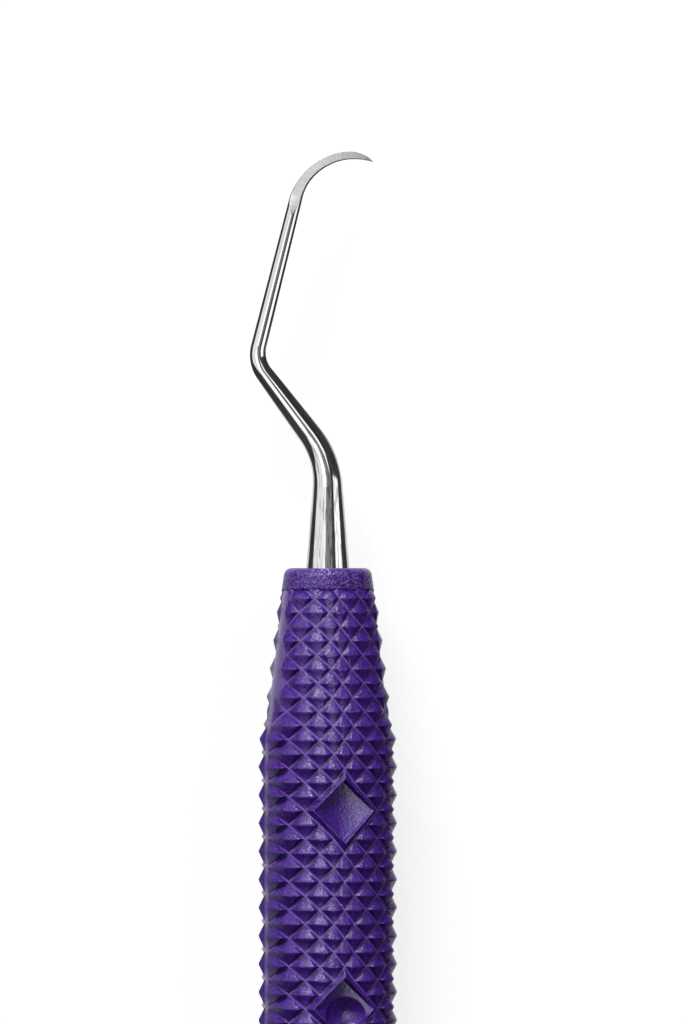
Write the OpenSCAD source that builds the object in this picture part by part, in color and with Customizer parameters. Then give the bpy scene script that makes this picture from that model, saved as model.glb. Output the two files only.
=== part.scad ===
// Double-ended dental hand instrument, lying on its side.
// The handle runs along X with its middle at the origin, end A is at +X, and both working ends
// bend in the XY plane. End B is end A turned half round about Z.

/* [Handle] */
// Length over the two end collars
handle_length = 113.81; // [90:0.01:130]
// Radius at the bottom of the grooves along the straight part of the grip
groove_radius = 4.36; // [3.8:0.01:5.5]
// Radius at the bottom of the grooves beside a collar
groove_radius_at_collar = 3.02; // [2.9:0.01:3.6]
// Length of the tapered stretch at each end of the grip
taper_length = 10.7; // [6:0.1:20]

/* [Diamond knurl] */
// Length of one diamond along the handle
diamond_length = 1.925; // [1.6:0.001:2.6]
// Half width of the middle column of diamonds, seen along the mould's draw direction
centre_column = 0.71; // [0.6:0.005:0.9]
// Step between the other columns, seen along the draw direction
column_step = 0.923; // [0.85:0.001:1]
// Height of a diamond above its grooves on the straight part of the grip
diamond_height = 0.39; // [0.2:0.01:0.5]
// Height of a diamond above its grooves beside a collar
diamond_height_at_collar = 0.27; // [0.1:0.01:0.4]
// Part of a diamond's half width that its level crest takes
crest_share = 0.54; // [0.3:0.01:0.7]
// Half angle of the plain strip along each parting line, in degrees
parting_strip_angle = 6; // [2:0.5:9]
// Turn of the mould's draw direction from straight up, in degrees
draw_turn = 15; // [0:0.1:30]

/* [Finger pads] */
// Distance from a collar to the middle of the first pad
first_pad_distance = 15; // [12:0.05:25]
// Distance between the two pads at one end
pad_spacing = 13.475; // [9:0.005:20]
// Half width of a pad's top across the handle, in half diamonds
pad_top_across = 2.54; // [2.2:0.01:2.8]
// Half length of a pad's top along the handle, in half diamonds
pad_top_along = 2.31; // [2.1:0.01:2.7]
// Part of the pad's top that its hollow takes
hollow_share = 0.94; // [0.7:0.01:0.96]
// Depth of the hollow below the diamond crests
hollow_depth = 0.5; // [0.3:0.01:0.9]
// Length of the valley along the bottom of the hollow
valley_length = 2.6; // [1:0.1:3.2]
// Distance of the valley from the middle of the pad, to the side that the draw direction leans to
valley_shift = 0.5; // [0:0.05:0.8]
// Radius of the round dimple in the second pad
dimple_radius = 2.3; // [1.6:0.1:3]
// Depth of the dimple below the diamond crests
dimple_depth = 0.9; // [0.7:0.01:1.2]

/* [End collars] */
// Length of the collar that shows
collar_length = 1.44; // [1:0.01:3]
// Radius of the collar beside the grip
collar_radius = 3.14; // [3:0.01:3.8]
// Radius of the collar at its outer face
collar_face_radius = 3.02; // [2.8:0.01:3.6]
// Rounding of the collar's outer corner
collar_rounding = 0.55; // [0.2:0.01:0.9]
// Radius of the spigot that enters the grip
spigot_radius = 2.5; // [2.35:0.01:2.8]
// Length of the spigot
spigot_length = 5; // [3:0.1:8]

/* [Core tube] */
// Outer radius of the tube inside the grip
tube_radius = 2; // [1.8:0.01:2.2]
// Inner radius of the tube
tube_bore_radius = 1.25; // [1:0.01:1.3]
// Depth of the tube's end below the collar's inner face
tube_recess = 1; // [0.5:0.1:2]
// Gap that the adhesive fills, on the radius
bond_gap = 0.02; // [0.01:0.005:0.05]

/* [Working ends] */
// Diameter where the shank leaves the collar
shank_base_d = 3; // [2.6:0.01:3.2]
// Diameter where the first bend starts
first_bend_d = 2.06; // [1.7:0.01:2.3]
// Diameter where the first bend ends
first_bend_end_d = 1.62; // [1.4:0.01:1.9]
// Diameter where the elbow starts
elbow_start_d = 1.2; // [1:0.01:1.5]
// Diameter where the elbow ends
elbow_end_d = 1.04; // [0.8:0.01:1.2]
// Diameter where the blade starts
blade_root_d = 0.88; // [0.7:0.01:1]
// Length of the straight cone above the collar
base_length = 5.5; // [4:0.1:8]
// Turn of the first bend, in degrees
first_bend_turn = 36.8; // [20:0.1:50]
// Radius of the first bend
first_bend_radius = 6; // [4:0.1:9]
// Length of the straight stretch between the bends
middle_length = 5.24; // [3:0.01:8]
// Turn of the elbow, in degrees
elbow_turn = 50.93; // [30:0.01:60]
// Radius of the elbow
elbow_radius = 2.27; // [1.6:0.01:4]
// Length of the straight terminal shank
terminal_length = 10.27; // [6:0.01:14]
// Length of the tang inside the core tube
tang_length = 14; // [8:0.5:25]
// Number of grooves round the tang
tang_grooves = 4; // [2:1:8]
// Depth of a tang groove
tang_groove_depth = 0.15; // [0.05:0.01:0.25]

/* [Blade] */
// Turn of the long curve of the blade, in degrees
blade_turn = 70; // [50:1:90]
// Radius of the long curve
blade_radius = 4.05; // [3:0.05:6]
// Turn of the short curve at the tip, in degrees
tip_turn = 38; // [20:1:50]
// Radius of the short curve
tip_radius = 2.8; // [2:0.05:4]
// Width of the blade, back to face, past its root
blade_width = 0.7; // [0.5:0.01:0.8]
// Width of the blade where the tip starts to close
blade_end_width = 0.52; // [0.3:0.01:0.6]
// Thickness across the face of the blade past its root
blade_thickness = 0.52; // [0.35:0.01:0.7]
// Thickness across the face near the tip
blade_end_thickness = 0.3; // [0.2:0.01:0.45]
// Thickness of the back of the blade as a part of its face
back_share = 0.45; // [0.2:0.05:0.9]
// Width left at the very tip
tip_width = 0.06; // [0.03:0.01:0.15]

/* [Hidden] */
$fn = 48;
resin_purple = "#6b4fa0";
steel = "#c9cbce";

// How far a cut runs past the solid that it cuts
cut_margin = 1;

half_length = handle_length / 2;
grip_half = half_length - collar_length;
tube_half = grip_half - tube_recess;
shank_base_radius = shank_base_d / 2;
tang_radius = tube_bore_radius - bond_gap;
row_step = diamond_length / 2;
last_row = ceil(grip_half / row_step);

strip_edge = 90 - parting_strip_angle;
strip_shoulder = strip_edge - parting_strip_angle;
// Columns crowd together from this part of the radius outwards, up to just short of the strip
crowd_start = 0.84;
crowd_reach = 0.99;
crowd_room = crowd_reach * sin(strip_shoulder) - crowd_start;
// Diamonds cut by the parting line die out over this part of the radius past the crowding
fade_room = 0.06;
// Outermost whole column of diamonds on each side of the draw plane, an even number
last_column = 2 * floor(((crowd_start * groove_radius - centre_column) / column_step + 1) / 2);
edge_column = last_column + 1 - crest_share;

// Points in a half ring: three to a column, which are the two ends of its crest and a groove
even_half = 3 * (last_column + 1) + 1;
odd_half = even_half + 3;

function even(row) = abs(row) % 2 == 0;
function collar_closeness(x) = max(0, 1 - (grip_half - abs(x)) / taper_length);
function groove_r(x) = groove_radius - (groove_radius - groove_radius_at_collar) * collar_closeness(x);
function crest_h(x) =
    diamond_height - (diamond_height - diamond_height_at_collar) * collar_closeness(x);

function column_offset(c) =
    sign(c) * (abs(c) <= 1 ? abs(c) * centre_column : centre_column + (abs(c) - 1) * column_step);
function crowd(u) =
    u <= crowd_start ? u : crowd_start + crowd_room * (1 - exp((crowd_start - u) / crowd_room));
function column_angle(c, r) = sign(c) * asin(crowd(abs(column_offset(c)) / r));

// A point on the grip, turned from the draw direction towards -Y
function grip_point(x, angle, r) = [x, -r * sin(angle + draw_turn), r * cos(angle + draw_turn)];

// Rows of the pads' middles: even rows, nearest to the stated distances
function pad_row(distance) = 2 * round((grip_half - distance) / diamond_length);
pad_rows = [for (distance = [first_pad_distance, first_pad_distance + pad_spacing]) pad_row(distance)];
// Half size of a pad, in half diamonds
pad_reach = 3;
function under_pad(column, row) =
    len([for (middle = pad_rows) if (abs(column) + abs(abs(row) - middle) < pad_reach) 1]) > 0;

function crest(row, column, turned) =
    let (x = row * row_step)
    let (flat = turned == 0 && under_pad(column, row))
    let (r = groove_r(x) + (flat ? 0 : crest_h(x)))
    [column_angle(column, r), r];
function groove(row, column) =
    let (r = groove_r(row * row_step)) [column_angle(column, r), r];
function strip(row, side) = [side * strip_edge, groove_r(row * row_step)];

// Diamonds that the parting line cuts: they shrink where the taper leaves them no room
function edge_share(x) =
    let (place = column_offset(edge_column) / (groove_r(x) + crest_h(x)))
    max(0, min(1, 1 - (place - crowd_start) / fade_room));
function edge_r(x) = groove_r(x) + crest_h(x) * edge_share(x);
function edge_crest(row, side) =
    let (r = edge_r(row * row_step)) [side * column_angle(edge_column, r), r];
function edge_shoulder(row, side) = [side * strip_shoulder, edge_r(row * row_step)];

function even_row(row, turned) = [
    strip(row, -1),
    for (c = [-last_column : 2 : last_column]) each [
        crest(row, c - crest_share, turned),
        crest(row, c + crest_share, turned),
        c < last_column ? groove(row, c + 1) : strip(row, 1)
    ]
];
function odd_row(row, turned) = [
    strip(row, -1),
    edge_shoulder(row, -1),
    edge_crest(row, -1),
    groove(row, -last_column),
    for (c = [1 - last_column : 2 : last_column - 1]) each [
        crest(row, c - crest_share, turned),
        crest(row, c + crest_share, turned),
        groove(row, c + 1)
    ],
    edge_crest(row, 1),
    edge_shoulder(row, 1),
    strip(row, 1)
];
function ring(row) = [
    for (turned = [0, 180])
        for (p = even(row) ? even_row(row, turned) : odd_row(row, turned))
            grip_point(row * row_step, p[0] + turned, p[1])
];

// Index of the first point of a row's ring
function ring_start(row) =
    let (before = row + last_row)
    let (even_before = even(last_row) ? ceil(before / 2) : floor(before / 2))
    2 * (even_half * even_before + odd_half * (before - even_before));

function side_faces(row) =
    let (e_row = even(row) ? row : row + 1)
    let (o_row = even(row) ? row + 1 : row)
    let (up = even(row))
    [
        for (half = [0, 1])
            let (e = ring_start(e_row) + half * even_half)
            let (o = ring_start(o_row) + half * odd_half)
            let (e_next = ring_start(e_row) + (1 - half) * even_half)
            let (o_next = ring_start(o_row) + (1 - half) * odd_half)
            each concat(
                [for (m = [0 : last_column]) for (i = [0 : 2])
                    [e + 3 * m + i, e + 3 * m + i + 1, o + 3 * m + 3]],
                [for (m = [-1 : last_column]) for (i = [3 : 5])
                    [o + 3 * m + i + 1, o + 3 * m + i, e + 3 * m + 3]],
                [[e + even_half - 1, e_next, o + odd_half - 1],
                 [e_next, o_next, o + odd_half - 1]]
            )
    ];
function flip(faces, turn) = turn ? [for (f = faces) [f[2], f[1], f[0]]] : faces;
function cap_faces(row, middle) =
    let (start = ring_start(row))
    let (count = 2 * (even(row) ? even_half : odd_half))
    flip([for (i = [0 : count - 1]) [middle, start + i, start + (i + 1) % count]], row > 0);

module knurled_body() {
    rings = [for (row = [-last_row : last_row]) each ring(row)];
    end_middles = [for (side = [-1, 1]) [side * last_row * row_step, 0, 0]];
    faces = concat(
        [for (row = [-last_row : last_row - 1]) each flip(side_faces(row), even(row))],
        cap_faces(-last_row, len(rings)),
        cap_faces(last_row, len(rings) + 1)
    );
    polyhedron(points = concat(rings, end_middles), faces = faces);
}

// A raised diamond, three diamonds across, with a bevel all round and a crown along the crests
// Lines across the pad, from -1 at one edge to 1 at the other. The top lies between the two rims.
pad_rim = 0.8;
pad_shoulder = 0.4;
pad_lines = [-1, -pad_rim, -pad_shoulder, 0, pad_shoulder, pad_rim, 1];
pad_count = len(pad_lines);
// Depth of the pad's root inside the grip
pad_root = 0.4;
// Depth of the bevel's foot below the grooves
pad_foot = 0.06;
function pad_point(row, u, v) =
    let (edge = max(abs(u), abs(v)) == 1)
    let (column = (u - v) / 2 * (edge ? pad_reach : pad_top_across / pad_rim))
    let (x = (row + (u + v) / 2 * (edge ? pad_reach : pad_top_along / pad_rim)) * row_step)
    let (r = groove_r(x) + (edge ? -pad_foot : crest_h(x)))
    grip_point(x, column_angle(column, r), r);
function pad_root_point(row, u, v) =
    let (column = (u - v) / 2 * pad_reach)
    let (x = (row + (u + v) / 2 * pad_reach) * row_step)
    grip_point(x, column_angle(column, groove_r(x)), groove_r(x) - pad_root);

module pad(row) {
    n = pad_count;
    top = [for (u = pad_lines) for (v = pad_lines) pad_point(row, u, v)];
    root = [for (u = pad_lines) for (v = pad_lines) pad_root_point(row, u, v)];
    rim = concat(
        [for (i = [0 : n - 2]) i],
        [for (i = [0 : n - 2]) n - 1 + i * n],
        [for (i = [0 : n - 2]) n * n - 1 - i],
        [for (i = [0 : n - 2]) n * (n - 1) - i * n]
    );
    skin = [for (i = [0 : n - 2]) for (k = [0 : n - 2]) each [
        [i * n + k, i * n + k + 1, (i + 1) * n + k],
        [i * n + k + 1, (i + 1) * n + k + 1, (i + 1) * n + k]
    ]];
    wall = [for (i = [0 : len(rim) - 1])
        let (a = rim[i]) let (b = rim[(i + 1) % len(rim)])
        each [[a, a + n * n, b], [b, a + n * n, b + n * n]]];
    floor_skin = [for (f = skin) [for (i = [2 : -1 : 0]) f[i] + n * n]];
    polyhedron(points = concat(top, root), faces = concat(skin, floor_skin, wall));
}

module along_draw(row) {
    x = row * row_step;
    translate([x, 0, 0]) rotate([draw_turn, 0, 0]) translate([0, 0, groove_r(x) + crest_h(x)])
        children();
}

// What is cut from a pad for its hollow: six facets that fall from the four corners of the pad's top
// to a valley along the handle
module hollow_cut(row) {
    crest_r = groove_r(row * row_step) + crest_h(row * row_step);
    along = hollow_share * pad_top_along * row_step;
    across = hollow_share * column_offset(pad_top_across);
    side_z = sqrt(crest_r * crest_r - across * across) - crest_r;
    corners = [[along, 0, 0], [0, across, side_z], [-along, 0, 0], [0, -across, side_z]];
    valley = [for (end = [1, -1]) [end * valley_length / 2, -valley_shift, -hollow_depth]];
    lids = [for (c = corners) [c[0], c[1], cut_margin]];
    facets = [[0, 1, 4], [1, 5, 4], [1, 2, 5], [2, 3, 5], [3, 4, 5], [3, 0, 4]];
    walls = [for (i = [0 : 3]) let (next = (i + 1) % 4) [i, i + 6, next + 6, next]];
    polyhedron(points = concat(corners, valley, lids), faces = concat(facets, walls, [[6, 9, 8, 7]]));
}

module x_cylinder(r, from, to) {
    translate([from, 0, 0]) rotate([0, 90, 0]) cylinder(r = r, h = to - from);
}

module grip_sleeve() {
    color(resin_purple) difference() {
        union() {
            intersection() {
                knurled_body();
                x_cylinder(groove_radius + 2 * diamond_height, -grip_half, grip_half);
            }
            for (side = [-1, 1]) for (row = pad_rows) pad(side * row);
        }
        x_cylinder(tube_radius + bond_gap, -half_length, half_length);
        for (side = [0, 180]) rotate([0, 0, side])
            x_cylinder(spigot_radius + bond_gap, grip_half - spigot_length - bond_gap, half_length);
        for (side = [-1, 1]) {
            for (row = pad_rows) along_draw(side * row) hollow_cut(side * row);
            along_draw(side * pad_rows[1])
                translate([0, -valley_shift, dimple_radius - dimple_depth]) sphere(dimple_radius);
        }
    }
}

module core_tube() {
    color(steel) difference() {
        x_cylinder(tube_radius, -tube_half, tube_half);
        x_cylinder(tube_bore_radius, -half_length, half_length);
    }
}

// Collar at end A: head, rounded outer corner, and the spigot that is bonded into the grip
module end_collar() {
    corner_x = half_length - collar_rounding;
    corner_r = collar_face_radius - collar_rounding;
    spigot_end = grip_half - spigot_length;
    cut_start = spigot_end - cut_margin;
    color(resin_purple) difference() {
        rotate([0, 90, 0]) rotate_extrude() {
            polygon([
                [0, spigot_end],
                [spigot_radius, spigot_end],
                [spigot_radius, grip_half],
                [collar_radius, grip_half],
                [collar_face_radius, corner_x],
                [corner_r, corner_x],
                [corner_r, half_length],
                [0, half_length]
            ]);
            intersection() {
                translate([corner_r, corner_x]) circle(collar_rounding);
                translate([corner_r, corner_x]) square(collar_rounding);
            }
        }
        x_cylinder(shank_base_radius + bond_gap, cut_start, half_length + cut_margin);
        x_cylinder(tube_radius + bond_gap, cut_start, tube_half);
    }
}

// Tang: a rod with grooves that the adhesive keys into
module tang() {
    r = tang_radius;
    groove_r = tang_radius - tang_groove_depth;
    end = tube_half - tang_length;
    groove_step = tang_length / (tang_grooves + 1);
    rotate([0, 90, 0]) rotate_extrude() polygon([
        [0, end],
        [groove_r, end],
        [r, end + tang_groove_depth],
        for (i = [1 : tang_grooves]) let (z = end + i * groove_step) each [
            [r, z - 2 * tang_groove_depth],
            [groove_r, z - tang_groove_depth],
            [groove_r, z + tang_groove_depth],
            [r, z + 2 * tang_groove_depth]
        ],
        [r, tube_half],
        [shank_base_radius, tube_half],
        [shank_base_radius, half_length],
        [0, half_length]
    ]);
}

// The centre line of a working end: lengths and turns of its stretches, from the collar's face.
// A positive turn is towards -Y.
function arc_length(radius, turn) = radius * turn * PI / 180;
stretches = [
    [base_length, 0],
    [arc_length(first_bend_radius, first_bend_turn), -first_bend_turn],
    [middle_length, 0],
    [arc_length(elbow_radius, elbow_turn), elbow_turn],
    [terminal_length, 0],
    [arc_length(blade_radius, blade_turn), blade_turn],
    [arc_length(tip_radius, tip_turn), tip_turn]
];
// Distance along the centre line to the start of a stretch
function run(i) = i == 0 ? 0 : run(i - 1) + stretches[i - 1][0];
// Place and heading after a distance along one stretch: [x, y, heading]
function step_on(from, distance, stretch) =
    let (turn = stretch[1] * distance / stretch[0])
    let (chord = turn == 0 ? distance : distance * sin(turn / 2) / (turn * PI / 360))
    let (heading = from[2] + turn / 2)
    [from[0] + chord * cos(heading), from[1] - chord * sin(heading), from[2] + turn];
function stretch_start(i) =
    i == 0 ? [half_length, 0, 0] : step_on(stretch_start(i - 1), stretches[i - 1][0], stretches[i - 1]);

blade_start = run(5);
blade_length = run(7) - blade_start;
// Parts of the blade's length at which it has its full width, starts to close and is nearly closed
settled = 0.2;
closing = 0.8;
nearly_closed = 0.92;
// Part of its end width that the nearly closed blade has
closed_share = 0.6;
// Length of shank over which the grind of the faces runs in
grind_lead = 0.5;
// Thickness of a section that the grind doesn't touch, as a multiple of its width
uncut = 4;
// Width in the plane of the bends, and thickness of the ground faces, along the centre line
widths = [
    [0, shank_base_d - bond_gap],
    [run(1), first_bend_d],
    [run(2), first_bend_end_d],
    [run(3), elbow_start_d],
    [run(4), elbow_end_d],
    [blade_start, blade_root_d],
    [blade_start + settled * blade_length, blade_width],
    [blade_start + closing * blade_length, blade_end_width],
    [blade_start + nearly_closed * blade_length, blade_end_width * closed_share],
    [run(7), tip_width]
];
thicknesses = [
    [blade_start - grind_lead, uncut * blade_root_d],
    [blade_start, blade_root_d],
    [blade_start + settled * blade_length, blade_thickness],
    [blade_start + closing * blade_length, blade_end_thickness],
    [run(7), tip_width]
];

shank_sides = 24;
// Stations on each stretch: straight ones need few
station_counts = [2, 6, 1, 8, 3, 14, 8];
stations = [
    for (i = [0 : len(stretches) - 1])
        for (k = [1 : station_counts[i]]) [i, k / station_counts[i]]
];

// One section of the blade or shank: a round, flattened by the two ground faces and the inner face
function section(place, width, thickness) = [
    for (k = [0 : shank_sides - 1])
        let (side = width / 2 * cos(360 * k / shank_sides))
        let (limit = thickness / 2 * (back_share + (1 - back_share) * (0.5 + side / width)))
        let (height = width / 2 * sin(360 * k / shank_sides))
        let (lift = max(-limit, min(limit, height)))
        [place[0] - side * sin(place[2]), place[1] - side * cos(place[2]), lift]
];

// A short plug roots the shank in the tang
plug_length = 0.4;
plug_share = 0.8;

module shank_and_blade() {
    roots = [
        section([half_length - plug_length, 0, 0], plug_share * shank_base_d, uncut * shank_base_d),
        section(stretch_start(0), widths[0][1], uncut * shank_base_d)
    ];
    body = [for (s = stations)
        let (distance = s[1] * stretches[s[0]][0])
        let (along = run(s[0]) + distance)
        section(step_on(stretch_start(s[0]), distance, stretches[s[0]]),
                lookup(along, widths), lookup(along, thicknesses))];
    rings = concat(roots, body);
    n = shank_sides;
    sides = [for (i = [0 : len(rings) - 2]) for (k = [0 : n - 1])
        let (a = i * n + k) let (b = i * n + (k + 1) % n)
        each [[a, b, a + n], [b, b + n, a + n]]];
    caps = [[for (k = [n - 1 : -1 : 0]) k], [for (k = [0 : n - 1]) (len(rings) - 1) * n + k]];
    polyhedron(points = [for (r = rings) each r], faces = concat(sides, caps));
}

module working_end() {
    color(steel) union() {
        tang();
        shank_and_blade();
    }
}

module end_collar_a() { end_collar(); }
module end_collar_b() { rotate([0, 0, 180]) end_collar(); }
module working_end_a() { working_end(); }
module working_end_b() { rotate([0, 0, 180]) working_end(); }

grip_sleeve();
core_tube();
end_collar_a();
end_collar_b();
working_end_a();
working_end_b();
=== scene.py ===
import math

import bmesh
import bpy
import numpy as np
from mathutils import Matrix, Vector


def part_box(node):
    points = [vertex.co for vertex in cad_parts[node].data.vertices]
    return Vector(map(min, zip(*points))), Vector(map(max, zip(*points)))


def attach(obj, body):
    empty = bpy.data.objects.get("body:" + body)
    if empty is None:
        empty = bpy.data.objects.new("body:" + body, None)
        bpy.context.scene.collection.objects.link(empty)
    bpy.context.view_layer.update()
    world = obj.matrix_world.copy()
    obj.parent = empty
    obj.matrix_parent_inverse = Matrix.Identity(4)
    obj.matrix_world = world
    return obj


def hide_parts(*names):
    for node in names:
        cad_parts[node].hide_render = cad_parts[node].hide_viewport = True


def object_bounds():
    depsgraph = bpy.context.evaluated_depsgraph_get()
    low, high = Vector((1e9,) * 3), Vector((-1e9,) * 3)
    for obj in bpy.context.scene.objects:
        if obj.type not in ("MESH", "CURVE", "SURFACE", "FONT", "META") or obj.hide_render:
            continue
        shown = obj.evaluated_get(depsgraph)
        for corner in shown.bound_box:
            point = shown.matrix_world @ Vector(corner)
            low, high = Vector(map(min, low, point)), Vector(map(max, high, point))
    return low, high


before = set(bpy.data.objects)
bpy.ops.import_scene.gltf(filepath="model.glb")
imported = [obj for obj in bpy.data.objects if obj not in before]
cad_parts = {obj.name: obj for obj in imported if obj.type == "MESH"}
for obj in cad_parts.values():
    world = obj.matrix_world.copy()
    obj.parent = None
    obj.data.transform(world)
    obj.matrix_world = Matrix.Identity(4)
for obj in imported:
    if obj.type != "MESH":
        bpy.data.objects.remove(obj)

cad_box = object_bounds()
scene = bpy.context.scene
scene.view_settings.view_transform = "Standard"


# The camera: a long lens straight above the end that the photograph shows, rolled so that the
# handle stands upright in the frame. The grip, 9.5 mm over its crests, gives the scale, and the
# rows of diamonds look closer together at the grip's edges than in front, which gives the distance.
MM = 0.001
frame_pixels = np.array([683, 1024])
pixels_per_mm = 14.62
axis_pixel = 327.8
collar_face_pixel = 568
collar_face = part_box("end_collar_a")[1][0] / MM

camera_data = bpy.data.cameras.new("camera")
camera_data.lens = 330
camera_data.sensor_width = 36
camera = bpy.data.objects.new("camera", camera_data)
scene.collection.objects.link(camera)
frame_height = frame_pixels[1] / pixels_per_mm
aim_x = collar_face + (collar_face_pixel - frame_pixels[1] / 2) / pixels_per_mm
aim_y = (axis_pixel - frame_pixels[0] / 2) / pixels_per_mm
camera_height = frame_height * camera_data.lens / camera_data.sensor_width
camera.location = (aim_x * MM, aim_y * MM, camera_height * MM)
camera.rotation_euler = (0, 0, -math.pi / 2)
scene.camera = camera


# The core tube: a drawn stainless tube inside the handle that both working ends are bonded into.
# It is a plain tube, so its solid stays as it is and gets the fine lines that drawing leaves.
def put(tree, kind, sockets, **settings):
    """Adds a shader node, and fills its sockets with values or with links from other sockets."""
    node = tree.nodes.new("ShaderNode" + kind)
    for name, value in settings.items():
        setattr(node, name, value)
    for name, value in sockets.items():
        if isinstance(value, bpy.types.NodeSocket):
            tree.links.new(value, node.inputs[name])
        else:
            node.inputs[name].default_value = value
    return node


def new_material(name):
    """A material with one Principled shader: returns the material, its tree and that shader."""
    material = bpy.data.materials.new(name)
    material.use_nodes = True
    return material, material.node_tree, material.node_tree.nodes["Principled BSDF"]


def new_group(name, inputs, outputs):
    """An empty shader group with those sockets: returns its tree, its inputs and its outputs."""
    tree = bpy.data.node_groups.new(name, "ShaderNodeTree")
    for socket, kind in inputs:
        tree.interface.new_socket(socket, in_out="INPUT", socket_type="NodeSocket" + kind)
    for socket, kind in outputs:
        tree.interface.new_socket(socket, in_out="OUTPUT", socket_type="NodeSocket" + kind)
    return tree, tree.nodes.new("NodeGroupInput").outputs, tree.nodes.new("NodeGroupOutput").inputs


# Lines that drawing or polishing leaves along a rod: noise drawn out along the first coordinate
lines_per_mm = (0.06, 9.0, 9.0)
polish_lines, given, made = new_group("polish_lines", [("Vector", "Vector")], [("Lines", "Float")])
drawn_out = put(polish_lines, "VectorMath", {0: given["Vector"], 1: lines_per_mm},
                operation="MULTIPLY").outputs[0]
line_noise = put(polish_lines, "TexNoise", {"Vector": drawn_out, "Scale": 1.0, "Detail": 4.0})
polish_lines.links.new(line_noise.outputs["Fac"], made["Lines"])

tube_material, tree, shader = new_material("drawn_tube")
place = put(tree, "TexCoord", {}).outputs["Object"]
in_mm = put(tree, "VectorMath", {0: place, "Scale": 1 / MM}, operation="SCALE").outputs[0]
lines = put(tree, "Group", {"Vector": in_mm}, node_tree=polish_lines).outputs["Lines"]
shade = put(tree, "ValToRGB", {"Fac": lines})
shade.color_ramp.elements[0].color = (0.44, 0.45, 0.46, 1)
shade.color_ramp.elements[1].color = (0.62, 0.63, 0.64, 1)
tree.links.new(shade.outputs["Color"], shader.inputs["Base Color"])
gloss = put(tree, "MapRange", {"Value": lines, "To Min": 0.25, "To Max": 0.4})
tree.links.new(gloss.outputs["Result"], shader.inputs["Roughness"])
shader.inputs["Metallic"].default_value = 1
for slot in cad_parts["core_tube"].material_slots:
    slot.material = tube_material


# The grip: one moulding of satin purple resin over the tube. Two mould halves form its diamond
# knurl, and a plain strip shows where they meet. It is bonded to the tube and to both collars.
grip_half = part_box("grip_sleeve")[1][0] / MM
groove_radius = 4.36
groove_radius_at_collar = 3.02
taper_length = 10.7
row_step = 0.9625
last_row = math.ceil(grip_half / row_step)
centre_column = 0.71
column_step = 0.923
last_column = 4
diamond_height = 0.39
diamond_height_at_collar = 0.27
pad_rows = (42, 28)
pad_reach = 3
bore_radius = 2.02
spigot_radius = 2.52
spigot_length = 5.02

# crest_share and groove_share are parts of a diamond's half width. The strip's angles are from the draw
# direction. Past crowd_start of the radius, columns crowd into the crowd_room that is left beside the
# strip, and diamonds that the strip cuts lose their height over fade_room.
crest_share = 0.54
groove_share = 0.07
draw_turn = math.radians(15)
strip_edge = math.radians(84)
strip_shoulder = math.radians(78)
crowd_start = 0.84
crowd_end = 0.99 * math.sin(strip_shoulder)
crowd_room = crowd_end - crowd_start
fade_room = 0.06
edge_column = last_column + 1 - crest_share


def collar_closeness(x):
    """0 along the straight grip, rising evenly over the taper's length to 1 at a collar."""
    return np.maximum(0, 1 - (grip_half - np.abs(x)) / taper_length)


def groove_r(x):
    """Radius at the bottom of the grooves: straight, then a cone to each collar."""
    return groove_radius - (groove_radius - groove_radius_at_collar) * collar_closeness(x)


def crest_h(x):
    """Height of the crests above the grooves, which falls along the cone."""
    return diamond_height - (diamond_height - diamond_height_at_collar) * collar_closeness(x)


def column_angle(column, radius):
    """Angle from the draw direction at which a column, a fixed distance to its side, meets a radius.
    Distances past crowd_start of the radius are squeezed by an exponential, so that they stay on it."""
    steps = np.abs(column)
    offset = np.where(steps <= 1, steps * centre_column, centre_column + (steps - 1) * column_step)
    part = offset / radius
    squeezed = crowd_start + crowd_room * (1 - np.exp(np.minimum(0, crowd_start - part) / crowd_room))
    return np.sign(column) * np.arcsin(np.where(part <= crowd_start, part, squeezed))


def crossing_angle(column, radius):
    """Angle of a point where grooves cross: on its column, or on the strip's edge past the last one."""
    past_last = np.abs(column) > last_column
    return np.where(past_last, np.sign(column) * strip_edge, column_angle(column, radius))


def on_grip(x, angle, radius):
    """Points of the grip in mm, from their place along it, angle from the draw direction and radius."""
    turned = angle + draw_turn
    return np.stack([x + 0 * turned, -radius * np.sin(turned), radius * np.cos(turned)], axis=-1)


def grid_faces(rows, columns):
    """Quads between neighbouring points of a grid, as indices in row order."""
    index = np.arange(rows * columns).reshape(rows, columns)
    corners = [index[:-1, :-1], index[:-1, 1:], index[1:, 1:], index[1:, :-1]]
    return np.stack(corners, axis=-1).reshape(-1, 4)


def soft_least(values, rounding):
    """Least of several arrays, with rounded corners between them: -k log(sum of exp(-value / k))."""
    return -rounding * np.log(np.sum(np.exp(-np.stack(values) / rounding), axis=0))


# One diamond on a small grid. a runs round the grip and b along it, from -1 to 1 over the diamond, and
# level is 0 in the groove and 1 on the crest. Lines of the grid lie close together at the crest, which
# is rounded. The outer columns lie on the middle of the grooves, at the corners and halfway between
# them, where the neighbours join on.
crest_end = crest_share / (1 - groove_share)
crest_rounding = 0.06
row_lines = np.array([-1, -0.2, -0.07, 0, 0.07, 0.2, 1])
side_lines = np.array([-1, -crest_end - 0.1, -crest_end, -crest_end + 0.12, 0])
side_lines = np.concatenate([side_lines, -side_lines[-2::-1]])
b = np.repeat(row_lines[:, None], len(side_lines), axis=1)
a = side_lines * (1 - np.abs(b))
flank = (1 - np.abs(b) - np.abs(a)) / (1 - crest_end)
level = np.maximum(0, soft_least([1 - b, 1 + b, flank], crest_rounding))
on_outline = np.abs(a) + np.abs(b) > 0.999
level[on_outline] = 0
outer_b = np.array([-1, -0.5, 0, 0, 0, 0.5, 1])[:, None]
outer_a = 1 - np.abs(outer_b)
level = np.pad(level, ((0, 0), (1, 1)))
diamond_grid = level.shape
level = level.ravel()
a = np.hstack([-outer_a, a * (1 - groove_share), outer_a]).ravel()
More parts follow.
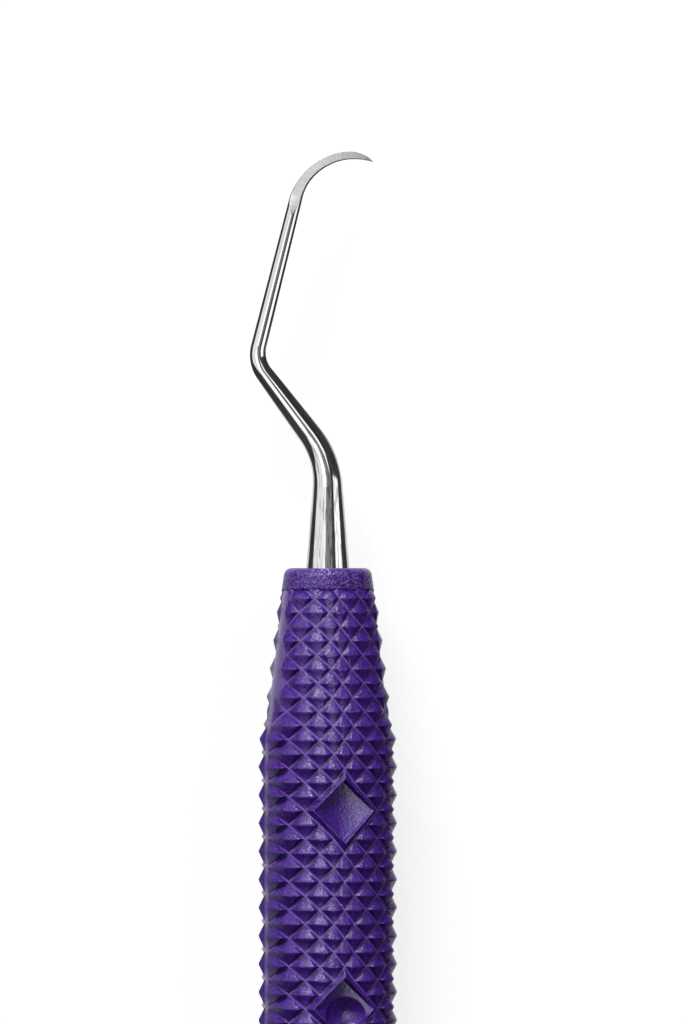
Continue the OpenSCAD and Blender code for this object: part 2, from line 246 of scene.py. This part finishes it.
b = np.hstack([outer_b, b * (1 - groove_share), outer_b]).ravel()

# Each point of a diamond is a weighted mean of its six corners: left, crest left, crest right,
# right, top and bottom
across = np.divide(a, 1 - np.abs(b), out=np.zeros_like(a), where=np.abs(b) < 1)
crest_part = np.clip((across + crest_share) / (2 * crest_share), 0, 1)
left_part = np.clip((-across - crest_share) / (1 - crest_share), 0, 1)
right_part = np.clip((across - crest_share) / (1 - crest_share), 0, 1)
crest_left_part = (1 - crest_part) * (1 - left_part)
crest_right_part = crest_part * (1 - right_part)
beside = np.stack([left_part, crest_left_part, crest_right_part, right_part])
weights = np.vstack([beside * (1 - np.abs(b)), np.maximum(b, 0), np.maximum(-b, 0)])

# All diamonds of one mould half: whole ones, and those that the parting strip cuts
all_rows = np.arange(-last_row, last_row + 1)
all_columns = np.arange(-last_column - 1, last_column + 2)
rows, columns = np.meshgrid(all_rows, all_columns)
on_lattice = (rows + columns) % 2 == 0
rows, columns = rows[on_lattice], columns[on_lattice]
cut = np.abs(columns) > last_column
side = np.sign(columns)
x = rows * row_step
crest_radius = groove_r(x) + crest_h(x)
edge_place = (centre_column + (edge_column - 1) * column_step) / crest_radius
edge_fade = np.clip(1 - (edge_place - crowd_start) / fade_room, 0, 1)
height_share = np.where(cut, edge_fade, 1)
edge_angle = column_angle(edge_column, groove_r(x) + crest_h(x) * height_share)
crest_left = np.where(cut, np.where(side > 0, edge_angle, -strip_shoulder),
                      column_angle(columns - crest_share, crest_radius))
crest_right = np.where(cut, np.where(side > 0, strip_shoulder, -edge_angle),
                       column_angle(columns + crest_share, crest_radius))
left = np.where(columns < -last_column, -strip_edge, crossing_angle(columns - 1, groove_r(x)))
right = np.where(columns > last_column, strip_edge, crossing_angle(columns + 1, groove_r(x)))
top = crossing_angle(columns, groove_r(x + row_step))
bottom = crossing_angle(columns, groove_r(x - row_step))
corner_angles = np.stack([left, crest_left, crest_right, right, top, bottom], axis=1)
point_angles = corner_angles @ weights
point_x = x[:, None] + row_step * b
point_level = height_share[:, None] * level
point_radius = groove_r(point_x) + crest_h(point_x) * point_level

# The front half leaves room for the finger pads
from_pad = np.min([np.abs(np.abs(rows) - middle) for middle in pad_rows], axis=0)
clear_of_pads = np.abs(columns) + from_pad >= pad_reach
front = on_grip(point_x, point_angles, point_radius)[clear_of_pads]
back = on_grip(point_x, point_angles + math.pi, point_radius)
diamond_points = np.concatenate([front, back])
diamond_levels = np.concatenate([point_level[clear_of_pads], point_level])
diamond_starts = np.arange(len(diamond_points)) * level.size
diamond_faces = grid_faces(*diamond_grid)[None] + diamond_starts[:, None, None]

# The plain strips along the two parting lines, level with the grooves, with a point every half row
strip_x = np.arange(-2 * last_row, 2 * last_row + 1)[:, None] * row_step / 2
strip_r = groove_r(strip_x)
strip_columns = 4
strip_angles = np.linspace(strip_edge, math.pi - strip_edge, strip_columns)[None]
strips = [on_grip(strip_x, strip_angles + half * math.pi, strip_r) for half in (0, 1)]
strip_faces = grid_faces(len(strip_x), strip_columns)

# The finger pads: raised diamonds of three by three, bevelled all round and hollowed for a fingertip by
# a round trough along the handle. The second pad has a round dimple in its hollow as well, a little
# towards the handle's middle. u and v run along the two groove directions. In a hollow the level is set
# below a crest's, so that the painted highlight of the crests stays off the hollow and lies as a thin
# pale line along the rim.
pad_top_across = 2.54
pad_top_along = 2.31
pad_rim = 2.4
rim_line = 0.06
hollow_level = 0.8
pad_foot = pad_reach - groove_share
hollow_share = 0.985
hollow_across = hollow_share * (centre_column + (pad_top_across - 1) * column_step)
hollow_along = hollow_share * pad_top_along * row_step
hollow_depth = 0.85
hollow_rounding = 0.05
bevel_rounding = 0.03
rim_rounding = 0.02
trough_half = 2.05
dimpled_row = pad_rows[1]
dimple_radius = 1.6
dimple_depth = 1.5
dimple_across = 0.15
dimple_inward = 0.5

# Lines of a pad's grid, which lie closest together at its rim
near_rim = np.array([-0.05, 0, 0.05, 0.12, 0.2]) - pad_rim
pad_lines = np.concatenate([
    [-pad_reach, -pad_foot],
    np.linspace(-pad_foot, -pad_rim, 6)[1:-1],
    near_rim[:-1],
    np.linspace(near_rim[-1], 0, 30),
])
pad_lines = np.concatenate([pad_lines, -pad_lines[-2::-1]])


def hollow_floor(across, along, crest):
    """Height of a pad's hollow over the handle's axis, along the draw direction: the greatest of an arc
    between the pad's side corners and four planes, each through two corners and an end of the arc's
    bottom line."""
    side = math.sqrt(crest**2 - hollow_across**2)
    top, bottom = [(0, end * hollow_along, crest) for end in (1, -1)]
    left, right = [(end * hollow_across, 0, side) for end in (-1, 1)]
    far, near = [(0, end * trough_half, crest - hollow_depth) for end in (1, -1)]
    sag = hollow_depth - crest + side
    arc_radius = (hollow_across**2 + sag**2) / (2 * sag)
    surfaces = [side - sag + arc_radius - np.sqrt(arc_radius**2 - across**2)]
    for facet in ((top, left, far), (left, bottom, near), (bottom, right, near), (right, top, far)):
        facet = np.array(facet)
        plane = np.linalg.solve(np.column_stack([facet[:, :2], np.ones(3)]), facet[:, 2])
        surfaces.append(plane[0] * across + plane[1] * along + plane[2])
    return -soft_least([-surface for surface in surfaces], hollow_rounding)


def pad(middle_row, dimpled):
    """A pad's points and levels. Its height above the grooves rises over a bevel to the crest height,
    and where the hollow, or the ball that makes the dimple, lies lower, the height along the draw
    direction is theirs."""
    u, v = np.meshgrid(pad_lines, pad_lines)
    reach = np.maximum(np.abs(u), np.abs(v))
    edge = reach == pad_reach
    u = np.where(edge, np.round(u), u)
    v = np.where(edge, np.round(v), v)
    widen = np.interp(reach, [pad_rim, pad_reach], [pad_top_across / pad_rim, 1])
    lengthen = np.interp(reach, [pad_rim, pad_reach], [pad_top_along / pad_rim, 1])
    column = (u - v) / 2 * widen
    x = (middle_row + (u + v) / 2 * lengthen) * row_step
    bevel = (pad_foot - reach) / (pad_foot - pad_rim)
    level = np.clip(soft_least([bevel, np.ones_like(bevel)], bevel_rounding), 0, 1)
    radius = groove_r(x) + crest_h(x) * level
    angle = column_angle(column, radius)
    # On the pad's edge, a point between two crossings of grooves lies midway between them
    odd = (np.round(u) % 2 == 1) & (np.round(v) % 2 == 1)
    along_u = np.where(np.abs(v) == pad_reach, 1, 0)
    before = crossing_angle((u - along_u - v + 1 - along_u) / 2, groove_r(x))
    after = crossing_angle((u + along_u - v - 1 + along_u) / 2, groove_r(x))
    angle = np.where(edge & ~odd, (before + after) / 2, angle)
    middle = middle_row * row_step
    crest = groove_r(middle) + crest_h(middle)
    across = radius * np.sin(angle)
    along = x - middle
    heights = [radius * np.cos(angle), hollow_floor(across, along, crest)]
    if dimpled:
        from_dimple = along + math.copysign(dimple_inward, middle_row)
        inside = dimple_radius**2 - (across - dimple_across) ** 2 - from_dimple**2
        ball = crest + dimple_radius - dimple_depth - np.sqrt(np.maximum(inside, 0))
        heights.append(np.where(inside > 0, ball, crest + 1))
    height = np.where(edge, heights[0], soft_least(heights, rim_rounding))
    points = on_grip(x, np.arctan2(across, height), np.hypot(across, height))
    return points, np.where(reach < pad_rim - rim_line, hollow_level, level)


pads = [pad(end * row, row == dimpled_row) for end in (-1, 1) for row in pad_rows]
pad_faces = grid_faces(len(pad_lines), len(pad_lines))

# The bore: wide at each end for a collar's spigot
bore_x = np.array([-grip_half, spigot_length - grip_half, spigot_length - grip_half])
bore_x = np.concatenate([bore_x, -bore_x[::-1]])[:, None]
bore_r = np.array([spigot_radius, spigot_radius, bore_radius])
bore_r = np.concatenate([bore_r, bore_r[::-1]])[:, None]
bore_sides = 64
bore = on_grip(bore_x, np.linspace(0, 2 * math.pi, bore_sides + 1)[None], bore_r)
bore_faces = grid_faces(*bore.shape[:2])[:, ::-1]


def joined(patches):
    """Points, faces and levels of several patches, each three arrays, as one array of each."""
    all_points = [points.reshape(-1, 3) for points, _, _ in patches]
    starts = np.cumsum([0] + [len(points) for points in all_points[:-1]])
    all_faces = [faces.reshape(-1, 4) + start for (_, faces, _), start in zip(patches, starts)]
    all_levels = [np.broadcast_to(levels, points.shape[:-1]).ravel() for points, _, levels in patches]
    return np.concatenate(all_points), np.concatenate(all_faces), np.concatenate(all_levels)


def new_piece(name, points, faces, attributes, cut_ends=None):
    """A mesh object from points in mm and quads: points that coincide are merged, so that quads with a
    side of no length become triangles. attributes holds numbers or vectors, one to a point. cut_ends,
    in mm from the middle, is where both ends are trimmed and their open rims joined."""
    merge_distance = 0.002
    mesh = bpy.data.meshes.new(name)
    mesh.from_pydata((points * MM).tolist(), [], faces.tolist())
    for label, values in attributes.items():
        kind, field = ("FLOAT", "value") if values.ndim == 1 else ("FLOAT_VECTOR", "vector")
        attribute = mesh.attributes.new(label, kind, "POINT")
        attribute.data.foreach_set(field, values.astype(np.float32).ravel())
    work = bmesh.new()
    work.from_mesh(mesh)
    bmesh.ops.remove_doubles(work, verts=work.verts, dist=merge_distance * MM)
    for end in (-1, 1) if cut_ends else ():
        everything = work.verts[:] + work.edges[:] + work.faces[:]
        bmesh.ops.bisect_plane(work, geom=everything, dist=merge_distance / 2 * MM,
                               plane_co=(end * cut_ends * MM, 0, 0), plane_no=(end, 0, 0),
                               clear_outer=True)
        open_edges = [edge for edge in work.edges if edge.is_boundary]
        rims = [edge for edge in open_edges if edge.verts[0].co.x * end > cut_ends / 2 * MM]
        bmesh.ops.bridge_loops(work, edges=rims)
    bmesh.ops.recalc_face_normals(work, faces=work.faces)
    work.to_mesh(mesh)
    work.free()
    mesh.shade_smooth()
    piece = bpy.data.objects.new(name, mesh)
    scene.collection.objects.link(piece)
    return piece


grip_points, grip_faces, grip_levels = joined(
    [(diamond_points, diamond_faces, diamond_levels)]
    + [(strip, strip_faces, 0.0) for strip in strips]
    + [(points, pad_faces, level) for points, level in pads]
    + [(bore, bore_faces, 0.0)])
hollow_mask = (grip_levels == hollow_level).astype(float)
grip = new_piece("grip", grip_points, grip_faces, {"level": grip_levels, "hollow": hollow_mask},
                 cut_ends=grip_half)

# Normals follow the larger faces, which keeps flanks flat beside a rounded crest
face_weight = 100
grip.modifiers.new("flat_faces", "WEIGHTED_NORMAL").weight = face_weight


def maths(tree, operation, *values):
    """Adds a Math node on those values or sockets: returns its output."""
    return put(tree, "Math", dict(enumerate(values)), operation=operation).outputs[0]


# Grain that spark erosion of the mould leaves on the resin, in the two sizes that catch the light
resin_grain, given, made = new_group(
    "resin_grain", [("Vector", "Vector")], [("Height", "Float"), ("Specks", "Float")])
fine = put(resin_grain, "TexVoronoi", {"Vector": given["Vector"], "Scale": 9.0})
coarse = put(resin_grain, "TexNoise", {"Vector": given["Vector"], "Scale": 4.0, "Detail": 1.0})
height = maths(resin_grain, "MULTIPLY_ADD", coarse.outputs["Fac"], 0.6, fine.outputs["Distance"])
specks = put(resin_grain, "MapRange",
             {"Value": fine.outputs["Color"], "From Min": 0.45, "From Max": 0.8})
resin_grain.links.new(height, made["Height"])
resin_grain.links.new(specks.outputs["Result"], made["Specks"])


def resin(name, deep, pale, grain_depth):
    """Satin purple resin: deep between the grains and pale on them. The attribute level is 0 in the
    grooves and 1 on the crests; near either, the colour is painted paler as a painted highlight, and the
    roughness is lower.
    The attribute hollow is 1 in the hollows of the finger pads, where the grain is shallower."""
    # The pale colour of the painted highlights
    painted_highlight = (0.20, 0.11, 0.44, 1)
    material, tree, shader = new_material(name)
    place = put(tree, "TexCoord", {}).outputs["Object"]
    in_mm = put(tree, "VectorMath", {0: place, "Scale": 1 / MM}, operation="SCALE").outputs[0]
    grain = put(tree, "Group", {"Vector": in_mm}, node_tree=resin_grain).outputs
    colour = put(tree, "Mix", {0: grain["Specks"], 6: deep, 7: pale}, data_type="RGBA")
    level = put(tree, "Attribute", {}, attribute_name="level").outputs["Fac"]
    # Painted highlight: near level 0 (groove bottoms, parting strips) and near level 1 (crests, pad
    # rims) the colour is mixed towards the pale one, and the roughness is lowered
    groove = put(tree, "MapRange", {"Value": level, "From Min": 0.06, "From Max": 0.0})
    crest = put(tree, "MapRange", {"Value": level, "From Min": 0.92, "To Max": 0.6})
    bright = maths(tree, "MAXIMUM", groove.outputs["Result"], crest.outputs["Result"])
    highlighted = put(tree, "Mix", {0: bright, 6: colour.outputs[2], 7: painted_highlight}, data_type="RGBA")
    tree.links.new(highlighted.outputs[2], shader.inputs["Base Color"])
    highlight_roughness = put(tree, "MapRange", {"Value": bright, "To Min": 0.3, "To Max": 0.2})
    gloss = maths(tree, "MULTIPLY_ADD", grain["Specks"], -0.1, highlight_roughness.outputs["Result"])
    tree.links.new(gloss, shader.inputs["Roughness"])
    shader.inputs["Specular IOR Level"].default_value = 0.6
    hollow = put(tree, "Attribute", {}, attribute_name="hollow").outputs["Fac"]
    kept = put(tree, "MapRange", {"Value": hollow, "To Min": 1.0, "To Max": 0.55})
    height = maths(tree, "MULTIPLY", grain["Height"], kept.outputs["Result"])
    bump = put(tree, "Bump", {"Height": height, "Distance": grain_depth * MM, "Strength": 1.0})
    tree.links.new(bump.outputs["Normal"], shader.inputs["Normal"])
    return material


grip_deep = (0.050, 0.004, 0.225, 1)
grip_pale = (0.118, 0.022, 0.440, 1)
grip.data.materials.append(resin("grip_resin", grip_deep, grip_pale, grain_depth=0.021))
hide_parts("grip_sleeve")
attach(grip, "root")


# The end collars: turned caps of the same resin, rounded at the outer corner, whose spigots are
# bonded into the grip. The shank stands in the hole of each cap.
collar_low, collar_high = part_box("end_collar_a")
collar_inner = grip_half
collar_outer = collar_high[0] / MM
collar_radius = 3.14
collar_face_radius = 3.02
collar_rounding = 0.55
rounding_start = 4
collar_edge = 0.08
collar_spigot_radius = 2.5
hole_radius = 1.52
tube_setback = 1
tube_end = grip_half - tube_setback
spigot_end = collar_low[0] / MM
collar_sides = 128


def arc(centre_x, centre_r, radius, start, end, count):
    """Points of an arc in a plane through the axis, from angles in degrees: 0 is away from the axis."""
    turn = np.radians(np.linspace(start, end, count))
    return np.stack([centre_x + radius * np.sin(turn), centre_r + radius * np.cos(turn)], axis=1)


def revolved(profile, sides):
    """The surface that a closed outline of (x, radius) points sweeps round the handle's axis."""
    outline = np.vstack([profile, profile[:1]])
    return on_grip(outline[:, :1], np.linspace(0, 2 * math.pi, sides + 1)[None], outline[:, 1:])


collar_profile = np.vstack([
    [(spigot_end, collar_spigot_radius), (collar_inner, collar_spigot_radius)],
    arc(collar_inner + collar_edge, collar_radius - collar_edge, collar_edge, -90, 0, 5),
    arc(collar_outer - collar_rounding, collar_face_radius - collar_rounding, collar_rounding,
        rounding_start, 90, 14),
    arc(collar_outer - collar_edge, hole_radius + collar_edge, collar_edge, 90, 180, 5),
    [(tube_end, hole_radius), (tube_end, bore_radius), (spigot_end, bore_radius)],
])
collar_points = revolved(collar_profile, collar_sides)
collar_faces = grid_faces(*collar_points.shape[:2])
plain_level = 0.5
collar_levels = np.full(collar_points[..., 0].size, plain_level)
collar_deep = (0.070, 0.012, 0.270, 1)
collar_pale = (0.240, 0.140, 0.500, 1)
collar_resin = resin("collar_resin", collar_deep, collar_pale, grain_depth=0.035)

# End b is end a turned half a turn about the vertical
half_turn = np.array([-1, -1, 1])
for letter, turn in (("a", 1), ("b", half_turn)):
    collar = new_piece("collar_" + letter, collar_points.reshape(-1, 3) * turn, collar_faces,
                       {"level": collar_levels})
    collar.modifiers.new("flat_faces", "WEIGHTED_NORMAL").weight = face_weight
    collar.data.materials.append(collar_resin)
    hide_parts("end_collar_" + letter)
    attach(collar, "root")


# The working ends: each one rod of stainless steel, turned to a taper, bent, ground at its end to
# a hooked blade, and polished. A grooved tang holds it in the tube.
tang_length = 14
tang_start = tube_end - tang_length
tang_d = 2.46
groove_depth = 0.15
groove_count = 4
shank_d = 2.98


def bend(radius, degrees):
    """Length and turn of an arc of the rod's centre line: radius times angle, and the angle."""
    return radius * math.radians(abs(degrees)), degrees


# Each stretch has its length in mm and its turn in degrees: the part in the handle, the shank with two
# bends, and the blade with two
lengths_and_turns = np.array([
    (collar_outer - tang_start, 0),
    (5.5, 0),
    bend(6.0, -36.8),
    (5.24, 0),
    bend(2.27, 50.93),
    (10.27, 0),
    bend(4.05, 70),
    bend(2.8, 38),
])
stretch_ends = np.cumsum(lengths_and_turns[:, 0])
stretch_starts = stretch_ends - lengths_and_turns[:, 0]
base, first_bend, middle, elbow, terminal, blade = stretch_starts[1:-1]
whole_length = stretch_ends[-1]


def along_stretch(start, part, turn_per_mm):
    """Place and heading after part of a stretch, from those at its start: along a chord, whose length
    is the part times sin(half turn) over the half turn, at the start's heading plus the half turn."""
    half = turn_per_mm * part / 2
    chord = part * np.sinc(half / math.pi)
    heading = start[2] + half
    steps = [chord * np.cos(heading), -chord * np.sin(heading), 2 * half]
    return start + np.stack(steps, axis=-1)


def along_path(distance):
    """Place and heading on the rod's centre line, at each distance from the tang's end: straights and
    arcs, each from the end of the last."""
    places = []
    start = np.array([tang_start, 0.0, 0.0])
    for begin, (length, turn) in zip(stretch_starts, lengths_and_turns):
        turn_per_mm = math.radians(turn) / length
        places.append(along_stretch(start, np.clip(distance - begin, 0, length), turn_per_mm))
        start = along_stretch(start, length, turn_per_mm)
    in_stretch = np.searchsorted(stretch_ends[:-1], distance, side="right")
    return np.stack(places)[in_stretch, np.arange(len(distance))]


# Width of the rod at stations along it. A groove of the tang has sloped walls as long as it is deep,
# and an edge that is turned square takes a step's length.
groove_step = tang_length / (groove_count + 1)
shoulder = tang_length
step = 0.01
tang_stations = [0, groove_depth]
tang_widths = [tang_d - 2 * groove_depth, tang_d]
for groove in range(1, groove_count + 1):
    tang_stations += [groove * groove_step + groove_depth * n for n in (-2, -1, 1, 2)]
    tang_widths += [tang_d, tang_d - 2 * groove_depth, tang_d - 2 * groove_depth, tang_d]
blade_length = whole_length - blade
blade_root = blade + 0.2 * blade_length
blade_end = blade + 0.8 * blade_length
point = blade + 0.92 * blade_length
width_at = np.array(list(zip(tang_stations, tang_widths)) + [
    (shoulder - step, tang_d), (shoulder, shank_d), (base, shank_d), (first_bend, 2.06),
    (middle, 1.62), (elbow, 1.2), (terminal, 1.04), (blade, 0.88), (blade_root, 0.70),
    (blade_end, 0.52), (point, 0.31), (whole_length, 0.06)])

# Thickness between the ground side faces, which start before the blade and run out to a point there.
# The faces close in towards the hook's back, where the blade has back_share of its thickness.
grind_start = blade - 0.95
grind_full = blade + 0.3
unground = 9
thickness_at = np.array([
    (0, unground), (grind_start - step, unground), (grind_start, 0.895), (blade, 0.74),
    (blade_root, 0.53), (blade_end, 0.32), (point, 0.28), (whole_length, 0.05)])
back_share = 0.45

# The rod's surface: round sections across its centre line, clipped to the thickness between the ground
# faces. side is the distance towards the hook's inside, and lift the height over the plane of the bends.
rod_sides = 96
rod_rings = 380
rod_stations = np.linspace(base, whole_length, rod_rings)
turned_edges = [shoulder - step, shoulder, base + step]
stations = np.unique(np.concatenate([tang_stations, turned_edges, rod_stations]))
stations = np.concatenate([stations[:1], stations, stations[-1:]])
width = np.interp(stations, *width_at.T)
width[[0, -1]] = 0
thickness = np.interp(stations, *thickness_at.T)
place_x, place_y, heading = (column[:, None] for column in along_path(stations).T)
around = -np.linspace(0, 2 * math.pi, rod_sides + 1)[None]
side = width[:, None] / 2 * np.cos(around)
lift = width[:, None] / 2 * np.sin(around)
run_out = np.interp(stations, [grind_start, grind_full], [0, 1])[:, None]
face_share = 1 - run_out * (1 - back_share) * (0.5 - np.cos(around) / 2)
limit = thickness[:, None] / 2 * face_share
ground = (np.abs(lift) >= limit).astype(float)
lift = np.clip(lift, -limit, limit)
rod_x = place_x - side * np.sin(heading)
rod_y = place_y - side * np.cos(heading)
rod_points = np.stack([rod_x, rod_y, lift], axis=-1)
rod_faces = grid_faces(*rod_points.shape[:2])
unbent = np.stack([stations[:, None] + 0 * side, side, lift], axis=-1)

# The attribute unbent is a point's place on the rod before it was bent, so that lines follow the bends
steel, tree, shader = new_material("polished_steel")
unbent_place = put(tree, "Attribute", {}, attribute_name="unbent").outputs["Vector"]
lines = put(tree, "Group", {"Vector": unbent_place}, node_tree=polish_lines).outputs["Lines"]
ground_mask = put(tree, "Attribute", {}, attribute_name="ground").outputs["Fac"]
grit_per_mm = (8.0, 1.5, 1.5)
satin_dark = (0.36, 0.36, 0.37, 1)
satin_light = (0.64, 0.64, 0.64, 1)
polish_dark = (0.34, 0.34, 0.35, 1)
polish_light = (0.76, 0.76, 0.77, 1)
grit_place = put(tree, "VectorMath", {0: unbent_place, 1: grit_per_mm}, operation="MULTIPLY").outputs[0]
grit = put(tree, "TexNoise", {"Vector": grit_place, "Scale": 1.0, "Detail": 2.0}).outputs["Fac"]
satin = put(tree, "Mix", {0: grit, 6: satin_dark, 7: satin_light}, data_type="RGBA").outputs[2]
streaks = put(tree, "MapRange", {"Value": lines, "From Min": 0.36, "From Max": 0.48})
polish = put(tree, "Mix", {0: streaks.outputs["Result"], 6: polish_dark, 7: polish_light},
             data_type="RGBA").outputs[2]
colour = put(tree, "Mix", {0: ground_mask, 6: polish, 7: satin}, data_type="RGBA")
tree.links.new(colour.outputs[2], shader.inputs["Base Color"])
polish_gloss = put(tree, "MapRange", {"Value": lines, "To Min": 0.04, "To Max": 0.14})
gloss = put(tree, "Mix", {0: ground_mask, 2: polish_gloss.outputs["Result"], 3: 0.45})
tree.links.new(gloss.outputs[0], shader.inputs["Roughness"])
shader.inputs["Metallic"].default_value = 1

rods = []
for letter, turn in (("a", 1), ("b", half_turn)):
    rod = new_piece("rod_" + letter, rod_points.reshape(-1, 3) * turn, rod_faces,
                    {"ground": ground.ravel(), "unbent": unbent.reshape(-1, 3)})
    rod.data.materials.append(steel)
    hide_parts("working_end_" + letter)
    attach(rod, "root")
    rods.append(rod)


# The floor and the light: a pale floor, a low key lamp beyond the hook, a soft fill on each side, panels
# that only gloss shows, some in the steel alone and some in the grip alone, and a dim cap over a dark
# room. To the camera floor and room are white, and gloss shows the floor dark grey, with a painted glow
# near the handle as a painted reflection.
floor_half = 3.0
floor_z = cad_box[0][2]
floor_mesh = bpy.data.meshes.new("floor")
square = ((-1, -1), (1, -1), (1, 1), (-1, 1))
floor_corners = [(x * floor_half, y * floor_half, floor_z) for x, y in square]
floor_mesh.from_pydata(floor_corners, [], [(0, 1, 2, 3)])
floor = bpy.data.objects.new("floor", floor_mesh)
scene.collection.objects.link(floor)
floor_paint, tree, shader = new_material("floor_paint")
shader.inputs["Roughness"].default_value = 1
shader.inputs["Specular IOR Level"].default_value = 0
path = put(tree, "LightPath", {}).outputs
# Gloss sees the floor dark grey, a painted shade in its reflections; other rays see it pale grey
pale_grey = (0.35, 0.35, 0.35, 1)
dark_grey = (0.08, 0.08, 0.08, 1)
paint = put(tree, "Mix", {0: path["Is Glossy Ray"], 6: pale_grey, 7: dark_grey}, data_type="RGBA")
tree.links.new(paint.outputs[2], shader.inputs["Base Color"])


def fade(tree, distance, gone, full, most=1.0):
    """A mask on the floor: 0 past the distance gone, growing to most at the distance full, in mm."""
    ends = {"From Min": gone * MM, "From Max": full * MM, "To Max": most}
    return put(tree, "MapRange", {"Value": distance, **ends}).outputs["Result"]


# Painted reflection: for gloss alone the floor glows in a bright pool along the object, up to the bends
# of its visible end, and in a weaker and wider one on the left of the grip
place = put(tree, "TexCoord", {}).outputs["Object"]
place = put(tree, "SeparateXYZ", {0: place}).outputs
aside = maths(tree, "ABSOLUTE", place["Y"])
pool = maths(tree, "MULTIPLY", fade(tree, aside, 9, 6), fade(tree, place["X"], 72, 64))
left_side = maths(tree, "GREATER_THAN", place["Y"], 0.0)
left_pool = maths(tree, "MULTIPLY", fade(tree, place["Y"], 24, 18), left_side)
left_pool = maths(tree, "MULTIPLY", left_pool, fade(tree, place["X"], 56, 53, most=0.45))
mirrored = maths(tree, "MULTIPLY", path["Is Glossy Ray"], maths(tree, "MAXIMUM", pool, left_pool))
seen = maths(tree, "MAXIMUM", path["Is Camera Ray"], mirrored)
floor_glow = 0.82
shader.inputs["Emission Color"].default_value = (1, 1, 1, 1)
tree.links.new(maths(tree, "MULTIPLY", seen, floor_glow), shader.inputs["Emission Strength"])
floor_mesh.materials.append(floor_paint)

# The lamps face a point of the handle that is this far from its middle, in mm
lit_place = 40


def softbox(name, azimuth, elevation, distance, width, height, level):
    """A rectangular lamp that faces the visible end of the handle, from a direction given in degrees:
    azimuth is from +X towards +Y. Sizes are in metres, and level is the brightness that it alone gives
    a white face turned to it."""
    turn, rise = math.radians(azimuth), math.radians(elevation)
    horizontal = np.array([math.cos(turn), math.sin(turn), 0])
    towards = horizontal * math.cos(rise) + np.array([0, 0, math.sin(rise)])
    lamp = bpy.data.lights.new(name, "AREA")
    lamp.shape = "RECTANGLE"
    lamp.size = width
    lamp.size_y = height
    lamp.energy = level * math.pi**2 * distance**2
    holder = bpy.data.objects.new(name, lamp)
    holder.location = towards * distance + [lit_place * MM, 0, 0]
    holder.rotation_euler = (math.pi / 2 - rise, 0, turn + math.pi / 2)
    holder.visible_camera = False
    scene.collection.objects.link(holder)
    return holder


softbox("key_lamp", 18, 36, 1.5, 0.7, 0.5, 0.74)
softbox("left_fill", 45, 15, 1.2, 0.8, 0.8, 0.18).visible_glossy = False
softbox("right_fill", -60, 35, 1.2, 0.8, 0.8, 0.2).visible_glossy = False
softbox("left_panel", 80, 39, 1.2, 1.0, 1.75, 0.37).visible_diffuse = False
softbox("top_strip", -42, 60, 1.0, 0.3, 0.25, 0.031).visible_diffuse = False


def shown_in(name, pieces, panels):
    """Makes panels that light nothing but show as reflections, in those pieces alone."""
    receivers = bpy.data.collections.new(name)
    for piece in pieces:
        receivers.objects.link(piece)
    for panel in panels:
        panel.visible_diffuse = False
        panel.light_linking.receiver_collection = receivers


shown_in("rods", rods, [
    softbox("right_panel", -95, 26, 1.0, 0.6, 0.75, 0.19),
    softbox("left_strip", 91, 72, 1.0, 0.3, 0.45, 0.06),
])
shown_in("grip_alone", [grip], [
    softbox("grip_strip", -90, 84, 1.0, 0.5, 0.5, 0.3),
    softbox("grip_left", 52, 12, 1.2, 0.5, 0.45, 0.09),
    softbox("grip_right", -46, 18, 1.2, 0.5, 0.45, 0.06),
])

# The room: its cap starts and has its full brightness at these heights, the sines of elevations. Gloss
# shows the whole room brighter by mirrored_level.
cap_start = 0.85
cap_full = 0.95
cap_level = 0.2
mirrored_level = 0.05
world = bpy.data.worlds.new("studio")
world.use_nodes = True
scene.world = world
tree = world.node_tree
background = tree.nodes["Background"]
background.inputs["Color"].default_value = (1, 1, 1, 1)
direction = put(tree, "TexCoord", {}).outputs["Generated"]
rise = put(tree, "SeparateXYZ", {0: direction}).outputs["Z"]
cap = put(tree, "MapRange",
          {"Value": rise, "From Min": cap_start, "From Max": cap_full, "To Max": cap_level})
path = put(tree, "LightPath", {}).outputs
mirrored = maths(tree, "MULTIPLY_ADD", path["Is Glossy Ray"], mirrored_level, cap.outputs["Result"])
bright = put(tree, "Mix", {0: path["Is Camera Ray"], 2: mirrored, 3: 1.0})
tree.links.new(bright.outputs[0], background.inputs["Strength"])
